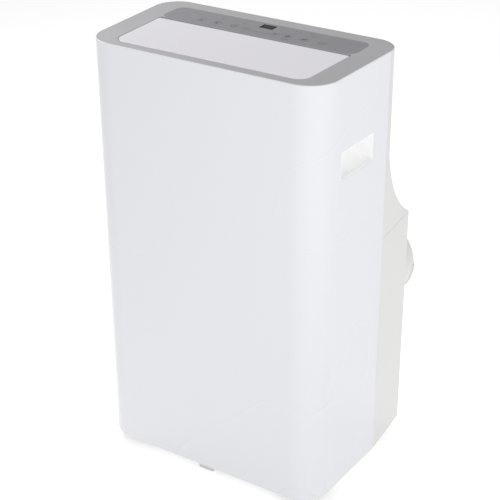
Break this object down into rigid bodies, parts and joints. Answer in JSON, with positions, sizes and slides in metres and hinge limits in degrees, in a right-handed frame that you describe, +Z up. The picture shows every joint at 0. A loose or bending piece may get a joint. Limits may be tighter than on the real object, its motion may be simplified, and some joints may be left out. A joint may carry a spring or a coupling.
{
  "type": "portable air conditioner",
  "caption": "Upright portable air conditioner on castors: glossy wrap-round shell, flush top outlet flap, key panel, side grips and a round rear exhaust collar.",
  "frame": {"origin": "on the floor, under the middle of the bounding box", "axes": "+X to the right seen from the front, +Y to the back, +Z up"},
  "size_m": [0.447, 0.365, 0.7668],
  "materials": {
    "shell_white": "glossy moulded",
    "cover_white": "semi-gloss moulded",
    "collar_white": "satin moulded",
    "flap_white": "glossy moulded",
    "frame_grey": "fine satin texture",
    "panel_grey": "satin film",
    "key_grey": "satin",
    "display_black": "smoked clear, glossy",
    "duct_black": "matt moulded",
    "scroll_white": "foam-like matt",
    "fan_grey": "moulded",
    "motor_steel": "zinc plated",
    "fin_aluminium": "bare foil",
    "tube_copper": "bare copper",
    "compressor_black": "black enamel",
    "rubber_black": "matt",
    "pan_white": "moulded",
    "box_grey": "moulded",
    "board_green": "solder mask",
    "filter_grey": "moulded",
    "mesh_grey": "fine woven nylon",
    "screw_steel": "zinc plated",
    "fork_grey": "moulded",
    "wheel_grey": "moulded"
  },
  "bodies": {
    "chassis": {"front_shell": "shell_white", "left_handle_cup": "shell_white", "right_handle_cup": "shell_white", "upper_rear_cover": "cover_white", "lower_rear_cover": "cover_white", "exhaust_outlet": "collar_white", "top_frame": "frame_grey", "control_panel": "panel_grey", "display_window": "display_black", "outlet_duct": "duct_black", "upper_scroll": "scroll_white", "lower_scroll": "scroll_white", "drip_tray": "scroll_white", "upper_fan_motor": "motor_steel", "lower_fan_motor": "motor_steel", "slinger_motor": "motor_steel", "flap_motor": "motor_steel", "evaporator_fins": "fin_aluminium", "condenser_fins": "fin_aluminium", "evaporator_tubes": "tube_copper", "condenser_tubes": "tube_copper", "refrigerant_pipes": "tube_copper", "compressor": "compressor_black", "compressor_grommets": "rubber_black", "cable_gland": "rubber_black", "base_pan": "pan_white", "power_box": "box_grey", "control_board": "board_green", "cover_screws": "screw_steel"},
    "flap": {"outlet_flap": "flap_white"},
    "vane_link": {"vane_link": "duct_black"},
    "upper_fan": {"upper_impeller": "fan_grey"},
    "lower_fan": {"lower_impeller": "fan_grey"},
    "slinger": {"slinger_wheel": "fan_grey"},
    "upper_filter": {"upper_filter_frame": "filter_grey", "upper_filter_mesh": "mesh_grey"},
    "upper_plug": {"upper_drain_plug": "rubber_black"},
    "lower_plug": {"lower_drain_plug": "rubber_black"},
    "vane_1": {"vane_1": "duct_black"},
    "vane_2": {"vane_2": "duct_black"},
    "vane_3": {"vane_3": "duct_black"},
    "vane_4": {"vane_4": "duct_black"},
    "vane_5": {"vane_5": "duct_black"},
    "vane_6": {"vane_6": "duct_black"},
    "key_swing": {"key_swing": "key_grey"},
    "key_sleep": {"key_sleep": "key_grey"},
    "key_timer": {"key_timer": "key_grey"},
    "key_minus": {"key_minus": "key_grey"},
    "key_plus": {"key_plus": "key_grey"},
    "key_fan": {"key_fan": "key_grey"},
    "key_mode": {"key_mode": "key_grey"},
    "key_power": {"key_power": "key_grey"},
    "fork_front_left": {"caster_fork_front_left": "fork_grey"},
    "wheels_front_left": {"caster_wheels_front_left": "wheel_grey"},
    "fork_front_right": {"caster_fork_front_right": "fork_grey"},
    "wheels_front_right": {"caster_wheels_front_right": "wheel_grey"},
    "fork_rear_left": {"caster_fork_rear_left": "fork_grey"},
    "wheels_rear_left": {"caster_wheels_rear_left": "wheel_grey"},
    "fork_rear_right": {"caster_fork_rear_right": "fork_grey"},
    "wheels_rear_right": {"caster_wheels_rear_right": "wheel_grey"}
  },
  "joints": [
    {"name": "flap_hinge", "type": "hinge", "parent": "chassis", "child": "flap", "pos_m": [0, -0.0327, 0.7604], "axis": [-1, 0, 0], "range_deg": [0, 75]},
    {"name": "vane_1_swing", "type": "hinge", "parent": "chassis", "child": "vane_1", "pos_m": [-0.15, -0.0941, 0.7214], "axis": [0, 1, 0], "range_deg": [-30, 30]},
    {"name": "vane_2_swing", "type": "hinge", "parent": "chassis", "child": "vane_2", "pos_m": [-0.09, -0.0941, 0.7214], "axis": [0, 1, 0], "range_deg": [-30, 30]},
    {"name": "vane_3_swing", "type": "hinge", "parent": "chassis", "child": "vane_3", "pos_m": [-0.03, -0.0941, 0.7214], "axis": [0, 1, 0], "range_deg": [-30, 30]},
    {"name": "vane_4_swing", "type": "hinge", "parent": "chassis", "child": "vane_4", "pos_m": [0.03, -0.0941, 0.7214], "axis": [0, 1, 0], "range_deg": [-30, 30]},
    {"name": "vane_5_swing", "type": "hinge", "parent": "chassis", "child": "vane_5", "pos_m": [0.09, -0.0941, 0.7214], "axis": [0, 1, 0], "range_deg": [-30, 30]},
    {"name": "vane_6_swing", "type": "hinge", "parent": "chassis", "child": "vane_6", "pos_m": [0.15, -0.0941, 0.7214], "axis": [0, 1, 0], "range_deg": [-30, 30]},
    {"name": "link_pivot", "type": "hinge", "parent": "vane_1", "child": "vane_link", "pos_m": [-0.15, -0.0941, 0.7054], "axis": [0, 1, 0], "range_deg": [-30, 30]},
    {"name": "upper_fan_spin", "type": "hinge", "parent": "chassis", "child": "upper_fan", "pos_m": [-0.02, 0.06, 0.56], "axis": [0, 1, 0], "continuous": true},
    {"name": "lower_fan_spin", "type": "hinge", "parent": "chassis", "child": "lower_fan", "pos_m": [-0.082, 0.06, 0.25], "axis": [0, 1, 0], "continuous": true},
    {"name": "slinger_spin", "type": "hinge", "parent": "chassis", "child": "slinger", "pos_m": [-0.06, 0.06, 0.076], "axis": [0, 1, 0], "continuous": true},
    {"name": "filter_slide", "type": "slide", "parent": "chassis", "child": "upper_filter", "axis": [0, 1, 0], "range_m": [0, 0.06]},
    {"name": "swivel_front_left", "type": "hinge", "parent": "chassis", "child": "fork_front_left", "pos_m": [-0.17, -0.1245, 0.06], "axis": [0, 0, 1], "continuous": true},
    {"name": "roll_front_left", "type": "hinge", "parent": "fork_front_left", "child": "wheels_front_left", "pos_m": [-0.17, -0.1125, 0.019], "axis": [1, 0, 0], "continuous": true},
    {"name": "swivel_front_right", "type": "hinge", "parent": "chassis", "child": "fork_front_right", "pos_m": [0.17, -0.1245, 0.06], "axis": [0, 0, 1], "continuous": true},
    {"name": "roll_front_right", "type": "hinge", "parent": "fork_front_right", "child": "wheels_front_right", "pos_m": [0.17, -0.1125, 0.019], "axis": [1, 0, 0], "continuous": true},
    {"name": "swivel_rear_left", "type": "hinge", "parent": "chassis", "child": "fork_rear_left", "pos_m": [-0.158, 0.087, 0.06], "axis": [0, 0, 1], "continuous": true},
    {"name": "roll_rear_left", "type": "hinge", "parent": "fork_rear_left", "child": "wheels_rear_left", "pos_m": [-0.158, 0.099, 0.019], "axis": [1, 0, 0], "continuous": true},
    {"name": "swivel_rear_right", "type": "hinge", "parent": "chassis", "child": "fork_rear_right", "pos_m": [0.158, 0.087, 0.06], "axis": [0, 0, 1], "continuous": true},
    {"name": "roll_rear_right", "type": "hinge", "parent": "fork_rear_right", "child": "wheels_rear_right", "pos_m": [0.158, 0.099, 0.019], "axis": [1, 0, 0], "continuous": true},
    {"name": "press_swing", "type": "slide", "parent": "chassis", "child": "key_swing", "axis": [0, 0, -1], "range_m": [0, 0.0006], "stiffness_N_per_m": 400, "springref_m": -0.0005},
    {"name": "press_sleep", "type": "slide", "parent": "chassis", "child": "key_sleep", "axis": [0, 0, -1], "range_m": [0, 0.0006], "stiffness_N_per_m": 400, "springref_m": -0.0005},
    {"name": "press_timer", "type": "slide", "parent": "chassis", "child": "key_timer", "axis": [0, 0, -1], "range_m": [0, 0.0006], "stiffness_N_per_m": 400, "springref_m": -0.0005},
    {"name": "press_minus", "type": "slide", "parent": "chassis", "child": "key_minus", "axis": [0, 0, -1], "range_m": [0, 0.0006], "stiffness_N_per_m": 400, "springref_m": -0.0005},
    {"name": "press_plus", "type": "slide", "parent": "chassis", "child": "key_plus", "axis": [0, 0, -1], "range_m": [0, 0.0006], "stiffness_N_per_m": 400, "springref_m": -0.0005},
    {"name": "press_fan", "type": "slide", "parent": "chassis", "child": "key_fan", "axis": [0, 0, -1], "range_m": [0, 0.0006], "stiffness_N_per_m": 400, "springref_m": -0.0005},
    {"name": "press_mode", "type": "slide", "parent": "chassis", "child": "key_mode", "axis": [0, 0, -1], "range_m": [0, 0.0006], "stiffness_N_per_m": 400, "springref_m": -0.0005},
    {"name": "press_power", "type": "slide", "parent": "chassis", "child": "key_power", "axis": [0, 0, -1], "range_m": [0, 0.0006], "stiffness_N_per_m": 400, "springref_m": -0.0005},
    {"name": "upper_plug_pull", "type": "slide", "parent": "chassis", "child": "upper_plug", "axis": [0, 1, 0], "range_m": [0, 0.025]},
    {"name": "lower_plug_pull", "type": "slide", "parent": "chassis", "child": "lower_plug", "axis": [0, 1, 0], "range_m": [0, 0.025]}
  ],
  "couplings": [
    {"joint": "vane_2_swing", "follows": "vane_1_swing", "ratio": 1},
    {"joint": "vane_3_swing", "follows": "vane_1_swing", "ratio": 1},
    {"joint": "vane_4_swing", "follows": "vane_1_swing", "ratio": 1},
    {"joint": "vane_5_swing", "follows": "vane_1_swing", "ratio": 1},
    {"joint": "vane_6_swing", "follows": "vane_1_swing", "ratio": 1},
    {"joint": "link_pivot", "follows": "vane_1_swing", "ratio": -1}
  ]
}
